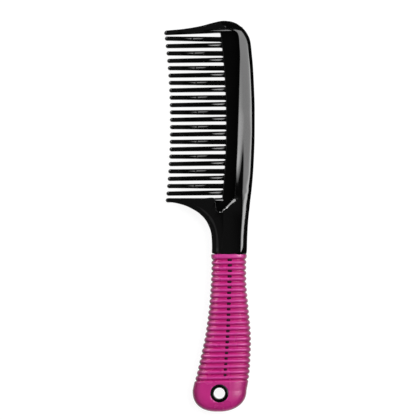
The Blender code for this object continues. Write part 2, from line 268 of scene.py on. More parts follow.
def magentaElastomer():
    # Thermoplastic elastomer from a lightly etched mould: satin, with painted shade in the grooves,
    # on the pad and towards the side walls
    material, tree, shader, cloud = mouldedPlastic("satinMagentaElastomer", elastomer)
    crown = addNode(tree, "ShaderNodeMix", {"data_type": "RGBA"}, {
        "Factor": cloud.outputs["Fac"],
        "A": hexColour(elastomer["crown"]), "B": hexColour(elastomer["tint"])})
    # painted shade: the colour turns to the darker groove colour as the stored depth grows, in the
    # grooves and on the pad
    depth = addNode(tree, "ShaderNodeAttribute", {"attribute_name": "grooveDepth"})
    shade = addNode(tree, "ShaderNodeMapRange", {"interpolation_type": "SMOOTHSTEP"}, {
        "Value": depth.outputs["Fac"],
        "From Min": elastomer["shadeFrom"], "From Max": elastomer["shadeTo"]})
    colour = addNode(tree, "ShaderNodeMix", {"data_type": "RGBA"}, {
        "Factor": shade.outputs["Result"], "B": hexColour(elastomer["groove"])})
    tree.links.new(crown.outputs["Result"], colour.inputs["A"])
    # painted shade: darker towards the side walls, where the sides turn away from the light
    across = addNode(tree, "ShaderNodeAttribute", {"attribute_name": "across"})
    outward = addNode(tree, "ShaderNodeMath", {"operation": "ABSOLUTE"}, {
        0: across.outputs["Fac"]})
    rim = addNode(tree, "ShaderNodeMapRange", {"interpolation_type": "SMOOTHSTEP"}, {
        "Value": outward.outputs[0],
        "From Min": elastomer["rimFrom"], "From Max": 1.0, "To Max": elastomer["rimMost"]})
    rimShaded = addNode(tree, "ShaderNodeMix", {"data_type": "RGBA"}, {
        "Factor": rim.outputs["Result"],
        "A": colour.outputs["Result"], "B": hexColour(elastomer["rim"])})
    tree.links.new(rimShaded.outputs["Result"], shader.inputs["Base Color"])
    return material


black = blackPlastic("polishedBlackPolystyrene", polished)
coreBlack = blackPlastic("dullBlackPolystyrene", sealed)
magenta = magentaElastomer()
print("materials ready")


# Head, neck and guard arms: one moulding, built of lofts that run into each other

head = {
    # outer x, y, inner x, y, half thickness, then the shape of the face in mm and degrees:
    # tilt at the inner edge and how far it reaches, where the roll-off at the outer edge
    # starts and where it turns steep (both from the outer edge), width of the inner flank
    "frame": (
        (-25.34, 103.9, -25.34, 102.8, 0.9, 0, 1.0, 0.5, 0.2, 0.3),
        (-24.7, 104.5, -24.7, 102.2, 1.6, 0, 1.0, 1.0, 0.4, 0.8),
        (-23.0, 104.7, -23.0, 102.3, 1.9, 0, 1.0, 1.1, 0.5, 0.9),
        (-14.5, 105.5, -14.5, 103.0, 2.5, 0, 1.0, 1.0, 0.5, 0.5),
        (-5.5, 106.97, -5.5, 104.1, 3.3, 0, 1.0, 1.1, 0.5, 0.4),
        (1.3, 108.74, 1.3, 104.85, 4.3, 0, 1.0, 1.4, 0.6, 0.4),
        (7.0, 109.93, 6.6, 105.0, 5.25, 0, 1.0, 2.2, 1.6, 0.4),
        (11.6, 109.72, 9.7, 104.85, 5.6, 10, 0.7, 4.5, 3.9, 0.4),
        (14.0, 108.98, 11.8, 104.6, 5.65, 13, 1.2, 4.6, 3.3, 0.4),
        (15.9, 108.0, 13.4, 104.2, 5.65, 13, 2.5, 4.5, 2.5, 0.4),
        (19.3, 105.2, 15.2, 103.0, 5.65, 12, 5.5, 4.9, 1.9, 0.5),
        (21.6, 101.8, 16.0, 100.7, 5.65, 11, 7.5, 6.0, 1.95, 0.45),
        (22.95, 98.0, 16.3, 97.4, 5.65, 10, 8.5, 7.2, 1.9, 0.4),
        (23.75, 91.0, 16.65, 90.7, 5.65, 10, 9.0, 8.6, 1.88, 0.4),
        (24.5, 82.1, 16.5, 81.9, 5.65, 11, 9.0, 9.6, 1.82, 0.4),
        (25.24, 65.2, 16.1, 65.2, 5.65, 13, 9.0, 10.5, 1.82, 0.4),
        (25.33, 53.9, 15.75, 53.9, 5.65, 13.5, 7.0, 9.2, 1.77, 0.4),
        (25.27, 44.0, 15.4, 44.0, 5.65, 13, 4.7, 6.6, 1.77, 0.4),
        (25.07, 37.0, 15.15, 37.0, 5.65, 13, 3.75, 5.9, 1.82, 0.4),
        (24.6, 27.0, 14.65, 27.0, 5.65, 12, 2.9, 5.35, 1.8, 0.4),
        (23.9, 18.0, 14.4, 18.0, 5.65, 5, 2.2, 5.0, 1.75, 0.4),
        (23.25, 12.0, 13.9, 12.2, 5.65, -1, 6.0, 4.55, 1.6, 0.5),
        (22.87, 9.0, 13.5, 10.0, 5.65, -3, 8.0, 4.3, 1.5, 2.4),
        (22.4, 4.5, 11.6, 7.8, 5.65, -4, 11.0, 4.05, 1.35, 1.8),
        (21.97, 0.5, 9.3, 5.45, 5.65, -4.5, 13.0, 3.8, 1.3, 1.4),
        (21.66, -3.0, 6.5, 3.3, 5.65, -4.5, 14.0, 3.65, 1.25, 1.1),
        (21.4, -6.5, 6.0, -1.0, 5.65, -4.5, 14.0, 3.55, 1.5, 0.4),
        (21.12, -12.5, 6.6, -12.0, 5.65, -4.5, 14.0, 3.5, 1.95, 0.4),
        (20.78, -20.6, 6.6, -20.6, 5.65, -4.5, 14.0, 3.5, 2.45, 0.4),
        (19.4, -21.3, 8.4, -21.3, 4.6, 0, 3.0, 3.5, 2.3, 0.4),
        (18.9, -24.0, 8.4, -24.0, 4.2, 0, 3.0, 3.5, 2.3, 0.4),
    ),
    "heel": (
        (-24.5, 8.75, -24.5, 9.8, 0.9, 0, 1.0, 0.5, 0.2, 0.3),
        (-23.9, 8.25, -23.9, 10.25, 1.6, 0, 1.0, 1.0, 0.4, 0.6),
        (-22.2, 7.95, -22.2, 10.3, 1.9, 0, 1.0, 1.2, 0.5, 0.6),
        (-18.0, 7.2, -18.0, 10.3, 2.3, 0, 1.0, 1.6, 0.8, 0.5),
        (-13.3, 5.8, -13.0, 10.3, 2.8, 0, 1.0, 2.2, 1.4, 0.5),
        (-9.6, 4.0, -8.2, 10.3, 3.3, 0, 1.0, 2.7, 2.2, 0.5),
        (-6.3, 1.95, -3.4, 10.3, 4.1, 0, 1.0, 3.3, 2.9, 0.5),
        (-3.6, -0.55, 2.6, 10.3, 4.9, 0, 1.0, 3.8, 3.4, 0.4),
        (-2.6, -1.8, 3.4, 6.2, 5.05, 0, 1.0, 3.9, 3.5, 0.3),
        (-1.7, -3.1, 4.5, 2.7, 5.15, 0, 1.0, 4.1, 3.7, 0.3),
        (-0.5, -5.5, 9.2, 1.8, 5.2, 0, 1.0, 4.2, 3.8, 0.4),
        (0.45, -8.1, 10.4, 0.0, 5.22, 0, 1.0, 4.2, 3.8, 0.4),
        (0.95, -10.8, 12.0, -5.0, 5.25, 0, 1.0, 4.2, 3.8, 0.4),
        (1.2, -14.5, 12.6, -13.0, 5.25, 0, 1.0, 4.2, 3.8, 0.4),
        (1.28, -17.8, 12.6, -17.4, 5.25, 0, 1.0, 4.2, 3.8, 0.4),
        (1.3, -20.6, 12.6, -20.6, 5.25, 0, 1.0, 4.2, 3.8, 0.4),
        (2.8, -21.3, 12.2, -21.3, 4.6, 0, 1.0, 4.2, 3.8, 0.4),
        (3.2, -24.0, 11.8, -24.0, 4.2, 0, 1.0, 4.2, 3.8, 0.4),
    ),
    # tilts where the roll-off starts and turns steep, the mean chamfer beyond it, how far the
    # first tilt leads in, and how softly a broad flank turns into the face
    "frameEdge": {"tilts": (9.7, 28.0), "chamfer": 38.0, "leadIn": 0.7, "ease": 0.6},
    "heelEdge": {"tilts": (4.0, 21.0), "chamfer": 32.0, "leadIn": 6.5, "ease": 0.12},
    # a wide roll-off stays gentle for longer, a short lean ends in a crease
    "lateRoll": {"from": 4.0, "over": 3.0, "gain": 20.0, "power": 1.5},
    "crease": {"below": 8.5, "most": 4.0, "gain": 0.5},
    "broadFlank": (0.5, 0.9),    # wider than the first, a flank turns broad over the second
    "flankTilt": 21.0,           # of a broad inner flank, where it meets the face
    "flankSlope": 26.0,          # from there down to its wall
    "flankSwell": 0.06,          # how far that slope is rounded, as a part of its fall
    "leastWall": 0.8,            # height of that wall
    "innerRound": 0.6,           # of the inner edge, as a part of the flank
    "kneeAt": 0.95,              # where the chamfer starts, as a part of the steep roll-off
    "rim": 0.14,                 # round at the outer edge
    "steps": 7,                  # sections from one row to the next
    "faceSteps": 28,             # points across a section: the face, then the edges' curves
    "innerSteps": 13,
    "chamferSteps": 8,
    "cornerSteps": 4,
    "webHalfThickness": 1.3,
    "webLip": 0.5,               # how far its left edge is rounded
    "webLipSteps": 12,
    "webLipLead": 0.2,           # from the round to the first flat strip
    "webWidth": 10.6,
    "webTopY": 106.0,
    "webBottomY": 10.1,
    "webSteps": 40,
    "webCrease": 35.0,           # edges of the web that are sharper than this stay sharp
    "footLeftX": -1.0,
    "footBottomY": 2.4,
    "footStep": 0.01,            # height of the step from the web to its foot
}

teeth = {
    "count": 22,
    "pitch": 4.15,
    "firstY": 100.0,
    "length": 31.6,          # tip to the end of the gap
    "overlap": 1.2,          # on into the web
    "arcRadius": 395.0,      # tips and roots follow the same arc
    "arcMiddleY": 52.5,
    "arcPeakX": -22.44,
    "lean": math.radians(0.9),
    "pivot": 4.75,           # from the tip; a leaning tooth turns about this point
    "halfWidth": 1.43,
    "tipHalfWidth": 1.26,
    "widening": 24.0,        # length over which the tip widens
    "halfDepth": 2.5,
    "tipHalfDepth": 1.35,
    "taper": 9.0,            # length over which the tip thickens
    "tipRound": 1.3,
    "power": 2.15,           # of the rounded section
    "flare": 0.25,           # at the very root, over the flare's length
    "flareLength": 0.9,
    # the level face falls by "drop" over a length of "curve" that ends "past" the root;
    # a guard arm may also thicken by "rise" over the stretch below
    "level": {"curve": 8.2, "drop": 1.45, "past": 0.0, "rise": 0.0},
    "riseFrom": 10.0,
    "riseLength": 14.0,
    # the other face sinks from "from", steps down at a round nose and runs out at the
    # set-back height; it turns flatter across once it has sunk by "flatFrom" of the way
    "sunk": {"from": 10.6, "sink": 0.42, "nose": 15.0, "noseRound": 0.9, "step": 0.74,
             "stepLength": 1.1, "runOut": 5.4, "runOutPower": 1.2, "height": 0.75,
             "power": 2.3, "flatFrom": 0.4, "flatOver": 0.2},
    "sides": 28,
    # rings along a tooth, as first place, spacing and count: from the tip, from the nose and
    # from the last ring of the nose; where the shaft's come within "leastStep" of the nose,
    # or the root's of the end, they are left out
    "tipRings": [0.02, 0.1, 0.25, 0.45, 0.7, 1.0, 1.3],
    "shaftRings": (1.9, 0.7, 17),
    "noseRings": (-1.2, 0.1, 26),
    "rootRings": (0.4, 0.5, 60),
    "leastStep": 0.1,
    # the outermost teeth, one on each arm: y at the tip, lean, then as for "level"
    "upperGuard": {"y": 103.35, "lean": math.radians(2.5),
                   "curve": 18.0, "drop": 2.5, "past": 11.6, "rise": 1.0},
    "lowerGuard": {"y": 9.0, "lean": 0.0,
                   "curve": 6.0, "drop": 1.3, "past": 1.9, "rise": 0.0},
    "guardRings": 90,
    "guardStart": 0.05,      # first ring, from the tip
    "guardSunk": 1.0,        # how far the last one is buried in the rail or the heel
}


def innerEdge(flank, broad, start, slopeAtStart):
    # a small round, or for a broad flank a slope above a side wall
    startZ = start[1]
    reach = head["innerRound"] * flank
    edge = bezier(((0, 0), (0, startZ - 1.3 * reach),
                   (flank - reach, startZ + reach * slopeAtStart), start), head["innerSteps"])
    if broad > 0:
        fall = flank * math.tan(math.radians(head["flankSlope"]))
        wallZ = max(startZ - fall, head["leastWall"])
        foot = [(0, 0), (0, wallZ * 0.5), (0, wallZ - 0.1), (0.02, wallZ)]
        cornerX = 0.05
        swell = head["flankSwell"] * (startZ - wallZ)
        steps = head["innerSteps"] - len(foot)
        slope = [(cornerX + (flank - cornerX) * k / steps,
                  wallZ + (startZ - wallZ) * k / steps + swell * math.sin(k / steps * math.pi))
                 for k in range(steps + 1)]
        edge = [(x1 * broad + x2 * (1 - broad), z1 * broad + z2 * (1 - broad))
                for (x1, z1), (x2, z2) in zip(foot + slope, edge)]
    return edge


def outerEdge(width, knee, start, edge, steepFrom):
    # a steep chamfer, a small corner and a side wall; the factors are the handles' lengths
    startZ = start[1]
    slope = math.tan(math.radians(edge["tilts"][1]))
    rim = min(head["rim"], 0.2 * steepFrom)
    run = width - rim - knee
    drop = min(run * math.tan(math.radians(edge["chamfer"])), 0.6 * startZ)
    wall = startZ - drop
    chamfer = bezier((start, (knee + 0.35 * run, startZ - 0.35 * run * slope),
                      (width - rim - 0.3 * run, wall + 0.34 * drop), (width - rim, wall)),
                     head["chamferSteps"])
    corner = bezier(((width - rim, wall), (width - 0.4 * rim, wall - 0.6 * rim),
                     (width, wall - 0.9 * rim), (width, max(wall - 1.8 * rim, 0.3 * wall))),
                    head["cornerSteps"])
    return chamfer[1:] + corner[1:] + [(width, 0)]


def faceShape(width, height, edge, tiltIn, reachIn, rollFrom, steepFrom, flank):
    # upper half of a section, from the inner edge to the outer one, as (from the inner
    # edge, up); the tilts across it are summed up to heights
    gentle, steep = edge["tilts"]
    plain, turning = head["broadFlank"]
    roll, crease = head["lateRoll"], head["crease"]
    broad = clamp((flank - plain) / turning)
    late = 1 + roll["gain"] * clamp((rollFrom - roll["from"]) / roll["over"]) ** roll["power"]
    falling = 1 + crease["gain"] * clamp(crease["below"] - reachIn, crease["most"])

    def tiltAt(x):
        lean = (max(x - flank, 0) / reachIn) ** (falling if tiltIn > 0 else 1)
        into = tiltIn * max(0, 1 - lean)
        fromRoll = x - (width - rollFrom)
        out = gentle * max(0, 1 + fromRoll / edge["leadIn"])
        if fromRoll > 0:
            out = gentle + (steep - gentle) * (fromRoll / (rollFrom - steepFrom)) ** late
        rise = head["flankTilt"] * broad * max(0, 1 - (x - flank) / edge["ease"])
        tilt = max(into, min(out, steep)) if tiltIn > 0 else into + min(out, steep)
        return math.radians(tilt - rise)

    knee = width - head["kneeAt"] * steepFrom
    steps = head["faceSteps"]
    xs = [flank + (knee - flank) * k / steps for k in range(steps + 1)]
    zs = [0.0]
    for before, after in zip(xs, xs[1:]):
        zs.append(zs[-1] - math.tan(tiltAt((before + after) / 2)) * (after - before))
    lift = height - max(zs)
    top = [(x, z + lift) for x, z in zip(xs, zs)]
    inner = innerEdge(flank, broad, top[0], math.tan(tiltAt(xs[0])))
    return inner[:-1] + top + outerEdge(width, knee, top[-1], edge, steepFrom)


def band(name, stations, edge):
    rings = []
    for outerX, outerY, innerX, innerY, height, *shape in smoothRows(stations, head["steps"]):
        width = math.hypot(outerX - innerX, outerY - innerY)
        alongX, alongY = (outerX - innerX) / width, (outerY - innerY) / width
        upper = faceShape(width, height, edge, *shape)
        section = upper + [(x, -z) for x, z in reversed(upper[1:-1])]
        rings.append([(innerX + alongX * x, innerY + alongY * x, z) for x, z in section])
    return loft(name, rings)


def arcShift(y):
    return teeth["arcRadius"] - math.sqrt(teeth["arcRadius"] ** 2 - (y - teeth["arcMiddleY"]) ** 2)


def plateRing(y, left, right):
    # one section of the web with a rounded left edge
    half, lip, steps = head["webHalfThickness"], head["webLip"], head["webLipSteps"]
    edge = [(left + lip * (1 - math.cos(a)), y, half * math.sin(a))
            for a in [math.pi / 2 - k * math.pi / steps for k in range(steps + 1)]]
    strip = left + lip + head["webLipLead"]
    return [(strip, y, half)] + edge + [(strip, y, -half), (right, y, -half), (right, y, half)]


def web():
    rings = []
    for step in range(head["webSteps"] + 1):
        y = head["webTopY"] + (head["webBottomY"] - head["webTopY"]) * step / head["webSteps"]
        left = teeth["arcPeakX"] + teeth["length"] - arcShift(y)
        rings.append(plateRing(y, left, left + head["webWidth"]))
    right = rings[-1][-1][0]
    rings.append(plateRing(head["webBottomY"] - head["footStep"], head["footLeftX"], right))
    rings.append(plateRing(head["footBottomY"], head["footLeftX"], right))
    plate = loft("web", rings)
    plate.data.set_sharp_from_angle(angle=math.radians(head["webCrease"]))
    return plate


def sunkDrop(along, across):
    # how far the set-back face has sunk, from 0 at the tip to 1 at the root; the nose is
    # round in plan
    sunk = teeth["sunk"]
    behind = sunk["noseRound"] * (1 - math.sqrt(max(1 - across * across, 0)))
    whole = teeth["halfDepth"] - sunk["height"]
    sinking = clamp((along - sunk["from"]) / (sunk["nose"] - sunk["from"])) ** 2
    stepping = clamp((along - sunk["nose"] + behind) / sunk["stepLength"])
    out = clamp((along - sunk["nose"] - sunk["stepLength"]) / sunk["runOut"])
    rest = 1 - (sunk["sink"] + sunk["step"]) / whole
    return (sunk["sink"] / whole * sinking + sunk["step"] / whole * stepping
            + rest * (1 - (1 - out) ** sunk["runOutPower"]))


def toothSection(along, across, up, curve=teeth["level"]):
    # level face up, set-back face down; the set-back part is flatter across
    sunk = teeth["sunk"]
    reach = math.sin(min(along / teeth["taper"], 1) * math.pi / 2)
    full = teeth["tipHalfDepth"] + (teeth["halfDepth"] - teeth["tipHalfDepth"]) * reach
    full += curve["rise"] * smoothStep((along - teeth["riseFrom"]) / teeth["riseLength"])
    wider = (teeth["halfWidth"] - teeth["tipHalfWidth"]) * min(along / teeth["widening"], 1)
    width = teeth["tipHalfWidth"] + wider
    width += teeth["flare"] * clamp(1 - (teeth["length"] - along) / teeth["flareLength"]) ** 2
    toRoot = (along - teeth["length"] - curve["past"]) / curve["curve"] + 1
    rounding = math.sqrt(1 - (1 - min(along / teeth["tipRound"], 1)) ** 2)
    if up > 0:
        height = (full - curve["drop"] * smoothStep(toRoot)) * up
    else:
        down = min(sunkDrop(along, across), 1)
        flat = smoothStep((down - sunk["flatFrom"]) / sunk["flatOver"])
        power = teeth["power"] + (sunk["power"] - teeth["power"]) * flat
        lowest = full - (full - sunk["height"]) * down
        height = -lowest * (1 - abs(across) ** power) ** (1 / power)
    return width * rounding * across, height * rounding


def toothRings():
    # places from the tip: close together at the tip and the nose
    start, spacing, count = teeth["shaftRings"]
    shaft = teeth["tipRings"] + [start + spacing * k for k in range(count)]
    start, spacing, count = teeth["noseRings"]
    nose = [teeth["sunk"]["nose"] + start + spacing * k for k in range(count)]
    start, spacing, count = teeth["rootRings"]
    root = [nose[-1] + start + spacing * k for k in range(count)]
    end = teeth["length"] + teeth["overlap"]
    least = teeth["leastStep"]
    return ([a for a in shaft if a < nose[0] - least] + nose
            + [a for a in root if a < end - least] + [end])


def toothShape(name):
    # lies along +X from its pivot, with its tip at -X
    rings = []
    for along in toothRings():
        ring = []
        for c, s in superellipse(teeth["sides"], teeth["power"]):
            y, z = toothSection(along, c, s)
            ring.append((along - teeth["pivot"], y, z))
        rings.append(ring)
    tooth = loft(name, rings)
    tooth.data.transform(Matrix.Translation((0, 0, -midZ)))
    return tooth


def guardRoot(name, guard):
    # a guard arm's outermost tooth, level on both faces
    rings = []
    tipX = teeth["arcPeakX"] - arcShift(guard["y"])
    first, count = teeth["guardStart"], teeth["guardRings"]
    end = teeth["length"] + guard["past"] + teeth["guardSunk"]
    for k in range(count):
        along = first + (end - first) * k / (count - 1)
        middleY = guard["y"] + math.sin(guard["lean"]) * (along - teeth["pivot"])
        ring = []
        for c, s in superellipse(teeth["sides"], teeth["power"]):
            across, z = toothSection(along, c, abs(s), guard)
            ring.append((tipX + along, middleY + across, math.copysign(z, s)))
        rings.append(ring)
    return loft(name, rings)


def makeHead():
    parts = [
        band("frame", head["frame"], head["frameEdge"]),
        band("heel", head["heel"], head["heelEdge"]),
        web(),
        guardRoot("upperRoot", teeth["upperGuard"]),
        guardRoot("lowerRoot", teeth["lowerGuard"]),
    ]
    whole = joinAll(parts, "comb_head")
    whole.data.materials.append(black)
    return whole


combHead = makeHead()
print("head:", len(combHead.data.polygons), "faces")


# Teeth: two shapes, set along the arc by a node tree

# result, operation and terms of each sum; a term is a number, one of the tree's inputs
# or an earlier result
teethSums = (
    ("back", "MULTIPLY", "Pitch", -1.0),
    # sagitta of the arc at each tooth
    ("fromMiddle", "SUBTRACT", "y", "Arc Middle Y"),
    ("radiusSquared", "POWER", "Arc Radius", 2.0),
    ("middleSquared", "MULTIPLY", "fromMiddle", "fromMiddle"),
    ("reachSquared", "SUBTRACT", "radiusSquared", "middleSquared"),
    ("reach", "SQRT", "reachSquared"),
    ("sagitta", "SUBTRACT", "Arc Radius", "reach"),
    ("tipX", "SUBTRACT", "Arc Peak X", "sagitta"),
    # every second tooth leans; the first leans the other way
    ("odd", "MODULO", "index", 2.0),
    ("even", "LESS_THAN", "odd", 0.5),
    ("first", "LESS_THAN", "index", 0.5),
    ("side", "SUBTRACT", "odd", "first"),
    ("turn", "MULTIPLY", "Lean", "side"),
)


def teethTree():
    tree, value = newTree("combTeeth", {
        "Int": ("Count",),
        "Float": ("Pitch", "First Y", "Arc Radius", "Arc Middle Y", "Arc Peak X", "Height",
                  "Lean"),
        "Object": ("Even Tooth", "Odd Tooth"),
        "Material": ("Finish",)})
    where = addNode(tree, "GeometryNodeInputPosition")
    point = addNode(tree, "ShaderNodeSeparateXYZ", links={0: where.outputs[0]}).outputs
    value["y"] = point["Y"]
    value["index"] = addNode(tree, "GeometryNodeInputIndex").outputs[0]
    for result, operation, *terms in teethSums:
        value[result] = addNode(tree, "ShaderNodeMath", {"operation": operation}, {
            i: value.get(term, term) for i, term in enumerate(terms)}).outputs[0]
    start = addNode(tree, "ShaderNodeCombineXYZ", links={
        "Y": value["First Y"], "Z": value["Height"]})
    step = addNode(tree, "ShaderNodeCombineXYZ", links={"Y": value["back"]})
    line = addNode(tree, "GeometryNodeMeshLine", links={
        "Count": value["Count"], "Start Location": start.outputs[0], "Offset": step.outputs[0]})
    shift = addNode(tree, "ShaderNodeCombineXYZ", links={"X": value["tipX"]})
    arc = addNode(tree, "GeometryNodeSetPosition", links={
        "Geometry": line.outputs["Mesh"], "Offset": shift.outputs[0]})
    turn = addNode(tree, "ShaderNodeCombineXYZ", links={"Z": value["turn"]})
    both = addNode(tree, "GeometryNodeJoinGeometry")
    for shape, chosen in (("Even Tooth", "even"), ("Odd Tooth", "odd")):
        tooth = addNode(tree, "GeometryNodeObjectInfo", links={"Object": value[shape]})
        row = addNode(tree, "GeometryNodeInstanceOnPoints", links={
            "Points": arc.outputs[0], "Selection": value[chosen],
            "Instance": tooth.outputs["Geometry"], "Rotation": turn.outputs[0]})
        tree.links.new(row.outputs[0], both.inputs[0])
    endTree(tree, both.outputs[0], value["Finish"])
    return tree


def makeTeeth():
    oddTooth = toothShape("oddTooth")
    evenTooth = toothShape("evenTooth")
    evenTooth.data.transform(Matrix.Rotation(math.pi, 4, "X"))   # turned over
    carrier = newObject("teethCarrier", bpy.data.meshes.new("teethCarrier"))
    grow = carrier.modifiers.new("grow", "NODES")
    grow.node_group = teethTree()
    setInputs(grow, {
        "Count": teeth["count"], "Pitch": teeth["pitch"] * mm, "First Y": teeth["firstY"] * mm,
        "Arc Radius": teeth["arcRadius"] * mm, "Arc Middle Y": teeth["arcMiddleY"] * mm,
        "Arc Peak X": (teeth["arcPeakX"] + teeth["pivot"]) * mm, "Height": midZ,
        "Lean": teeth["lean"], "Even Tooth": evenTooth, "Odd Tooth": oddTooth, "Finish": black})
    made = bake(carrier, "comb_teeth", black)
    for helper in (oddTooth, evenTooth):
        bpy.data.objects.remove(helper, do_unlink=True)
    return made


combTeeth = makeTeeth()
print("teeth:", len(combTeeth.data.polygons), "faces")


# Grip: a smooth handle from a loft, with ribs cut in by a node tree

grip = {
    # y, left edge x, right edge x, half thickness, over the rib crowns
    "outline": (
        (-21.3, 1.3, 20.4, 5.55),
        (-21.5, 0.95, 20.75, 5.75),
        (-22.1, 0.75, 20.9, 5.85),
        (-26.3, 0.95, 20.65, 5.85),
        (-38.4, 0.5, 20.75, 5.9),
        (-50.8, -0.45, 21.9, 5.95),
        (-63.1, -2.0, 23.0, 6.0),
        (-69.5, -3.1, 23.3, 6.0),
        (-75.5, -4.4, 23.2, 6.0),
        (-88.0, -7.2, 22.5, 6.0),
        (-93.6, -8.7, 21.6, 5.9),
        (-98.0, -9.65, 20.75, 5.7),
    ),
    "endMiddleX": 4.96,
    "endPowers": (2.45, 2.15, 3.0),   # left edge, right edge, thickness
    "power": 2.9,            # of the rounded section
    "sides": 72,
    "outlineSteps": 40,      # from one row of the outline to the next
    "endSteps": 60,          # over the rounded end
    "endSliver": 0.0002,     # keeps the last ring from closing up
    "leastStep": 0.03,       # rings on the collar closer than this are lost when the hole is cut
    "rowsPerRib": 18,
    "rowsAbove": 13,         # rows with the ribs' spacing above the first groove
    "rowClearance": 0.05,    # from the ribs' rows to the next ring of the outline
    "firstGroove": -24.5,    # on the middle line
    "pitch": 3.076,
    "slant": 0.02,           # the ribs rise slightly to the right
    "slantMiddleX": 10.8,
    "ribs": 22,
    "faceDepth": 0.72,
    "edgeDepth": 0.95,
    "notch": 2.2,            # power of the notches in the outline: more is narrower
    "padEdge": 1.6,          # how much steeper the last groove rises to the pad
    "padShade": 0.42,        # painted shade on the pad, between the crown and groove colours
    "holeClearance": 0.02,   # round the ring
    "holeSides": 96,
    "holeReach": 9.0,        # of the cutting cylinder, up and down
}


def gripRows():
    rows = smoothRows(grip["outline"], grip["outlineSteps"])
    lastY, left, right, thick = grip["outline"][-1]
    middle = grip["endMiddleX"]
    for k in range(1, grip["endSteps"] + 1):
        u = math.sin(k / grip["endSteps"] * math.pi / 2)
        toLeft, toRight, toFace = [
            max(1 - u ** power, grip["endSliver"]) ** (1 / power) for power in grip["endPowers"]]
        rows.append([lastY + (gripEndY - lastY) * u, middle - (middle - left) * toLeft,
                     middle + (right - middle) * toRight, thick * toFace])
    return rows


def gripRings(outline):
    # down the collar by the outline's rows, then evenly over the ribs, then by its rows again
    spacing = grip["pitch"] / grip["rowsPerRib"]
    lastRow = (grip["ribs"] + 1) * grip["rowsPerRib"]
    ribs = [grip["firstGroove"] + spacing * k for k in range(grip["rowsAbove"], -lastRow, -1)]
    collar = []
    for y, *_ in outline:
        if y > ribs[0] + grip["rowClearance"] and (
                not collar or collar[-1] - y > grip["leastStep"]):
            collar.append(y)
    return collar + ribs + [y for y, *_ in outline if y < ribs[-1] - grip["rowClearance"]]


def gripLoft():
    outline = gripRows()
    shape = superellipse(grip["sides"], grip["power"])
    ys = gripRings(outline)
    rings = []
    for y in ys:
        left, right, thick = (valueAt(outline, y, column) for column in (1, 2, 3))
        middle, half = (left + right) / 2, (right - left) / 2
        rings.append([(middle + half * c, y, thick * s) for c, s in shape])
    handle = loft("gripHandle", rings)
    for name, part in (("across", 0), ("up", 1)):
        layer = handle.data.attributes.new(name, "FLOAT", "POINT")
        layer.data.foreach_set("value", [point[part] for _ in ys for point in shape])
    return handle


# as for the teeth; a point moves in across by inX and in thickness by inZ
ribSums = (
    ("fromMiddle", "SUBTRACT", "pointX", "Slant Middle X"),
    ("slanting", "MULTIPLY", "fromMiddle", "Slant"),
    ("y", "SUBTRACT", "pointY", "slanting"),
    # 0 at the first groove, 1 at the next; past the last one the wall to the pad is steeper
    ("fromFirst", "SUBTRACT", "First Groove Y", "y"),
    ("even", "DIVIDE", "fromFirst", "Pitch"),
    ("beyond", "SUBTRACT", "even", "Ribs"),
    ("past", "MAXIMUM", "beyond", 0.0),
    ("onRibs", "SUBTRACT", "even", "past"),
    ("steeper", "MULTIPLY", "past", "Pad Edge"),
    ("turns", "ADD", "onRibs", "steeper"),
    ("begun", "GREATER_THAN", "turns", -0.5),
    ("lastTurn", "ADD", "Ribs", 0.5),
    ("notOver", "LESS_THAN", "turns", "lastTurn"),
    ("inside", "MULTIPLY", "begun", "notOver"),
    # 1 in the middle of a groove, 0 on a crown
    ("away", "PINGPONG", "turns", 0.5),
    ("awayWhole", "MULTIPLY", "away", 2.0),
    ("near", "SUBTRACT", 1.0, "awayWhole"),
    ("angle", "MULTIPLY", "near", math.pi),
    ("wave", "COSINE", "angle"),
    ("halfWave", "MULTIPLY", "wave", 0.5),
    ("rounded", "SUBTRACT", 0.5, "halfWave"),
    ("groove", "MULTIPLY", "inside", "rounded"),
    ("narrowed", "POWER", "near", "Notch"),
    ("notch", "MULTIPLY", "inside", "narrowed"),
    ("notchDepth", "MULTIPLY", "notch", "Edge Depth"),
    ("inX", "MULTIPLY", "notchDepth", "across"),
    ("grooveDepth", "MULTIPLY", "groove", "Face Depth"),
    ("inZ", "MULTIPLY", "grooveDepth", "up"),
    ("moveX", "MULTIPLY", "inX", -1.0),
    ("moveZ", "MULTIPLY", "inZ", -1.0),
    # how deep the painted shade is: the groove's depth, or a set share of it on the pad
    # the pad gets a set share of the painted shade
    ("padTurn", "ADD", "Ribs", 0.45),
    ("onPad", "GREATER_THAN", "turns", "padTurn"),
    ("padDepth", "MULTIPLY", "onPad", "Pad Shade"),
    ("depth", "MAXIMUM", "groove", "padDepth"),
)


def ribTree():
    tree, value = newTree("gripRibs", {
        "Geometry": ("Geometry",),
        "Float": ("First Groove Y", "Pitch", "Ribs", "Face Depth", "Edge Depth", "Notch",
                  "Pad Edge", "Slant", "Slant Middle X", "Pad Shade"),
        "Material": ("Finish",)})
    where = addNode(tree, "GeometryNodeInputPosition")
    point = addNode(tree, "ShaderNodeSeparateXYZ", links={0: where.outputs[0]}).outputs
    value["pointX"], value["pointY"] = point["X"], point["Y"]
    for name in ("across", "up"):
        value[name] = addNode(tree, "GeometryNodeInputNamedAttribute", {"data_type": "FLOAT"}, {
            "Name": name}).outputs[0]
    for result, operation, *terms in ribSums:
        value[result] = addNode(tree, "ShaderNodeMath", {"operation": operation}, {
            i: value.get(term, term) for i, term in enumerate(terms)}).outputs[0]
    # the painted shade's depth is stored for the material
    marked = addNode(tree, "GeometryNodeStoreNamedAttribute", {
        "data_type": "FLOAT", "domain": "POINT"}, {
        "Geometry": value["Geometry"], "Name": "grooveDepth", "Value": value["depth"]})
    inward = addNode(tree, "ShaderNodeCombineXYZ", links={
        "X": value["moveX"], "Z": value["moveZ"]})
    ribbed = addNode(tree, "GeometryNodeSetPosition", links={
        "Geometry": marked.outputs[0], "Offset": inward.outputs[0]})
    endTree(tree, ribbed.outputs[0], value["Finish"])
    return tree


